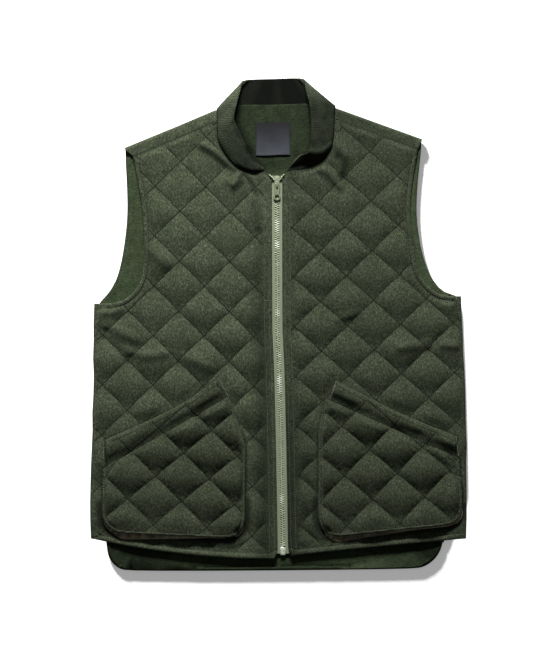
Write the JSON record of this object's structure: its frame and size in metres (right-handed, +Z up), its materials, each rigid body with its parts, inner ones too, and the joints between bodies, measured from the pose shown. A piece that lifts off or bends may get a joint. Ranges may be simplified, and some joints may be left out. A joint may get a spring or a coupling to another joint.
{
  "type": "quilted gilet",
  "caption": "Quilted wool gilet laid flat, with a rib-knit stand collar, zip front and two slanted pouch pockets, resting on its back.",
  "frame": {"origin": "middle of the outline on the surface that the garment lies on", "axes": "+X to the right as seen from above, +Y from the hem to the collar, +Z up through the front"},
  "size_m": [0.5505, 0.7207, 0.0206],
  "materials": {
    "wool_back": "dark green melange wool flannel",
    "flannel_lining": "dark green brushed flannel",
    "wool_front": "dark green melange wool flannel, diamond quilted",
    "wool_pocket": "dark green melange wool flannel, diamond quilted",
    "rib_knit": "fine rib knit",
    "label": "woven satin label, blank",
    "gusset_twill": "dark brown twill",
    "zip_tape": "sage woven tape",
    "zip_teeth": "sage moulded teeth",
    "zip_hardware": "sage painted metal",
    "zip_box": "bare metal with a sage tint"
  },
  "bodies": {
    "garment": {"back_shell": "wool_back", "back_lining": "flannel_lining", "front_left": "wool_front", "front_right": "wool_front", "collar": "rib_knit", "neck_label": "label", "pocket_pouch_left": "wool_pocket", "pocket_pouch_right": "wool_pocket", "pocket_welt_left": "wool_pocket", "pocket_welt_right": "wool_pocket", "pocket_gusset_left": "gusset_twill", "pocket_gusset_right": "gusset_twill", "zip_tape_left": "zip_tape", "zip_tape_right": "zip_tape", "zip_chain": "zip_teeth", "zip_slider": "zip_hardware", "zip_box": "zip_box"},
    "zip_pull": {"zip_pull": "zip_hardware"}
  },
  "joints": [
    {"name": "pull_hinge", "type": "hinge", "parent": "garment", "child": "zip_pull", "pos_m": [-0.00218, 0.206, 0.01075], "axis": [-1, 0, 0], "range_deg": [0, 170]}
  ]
}
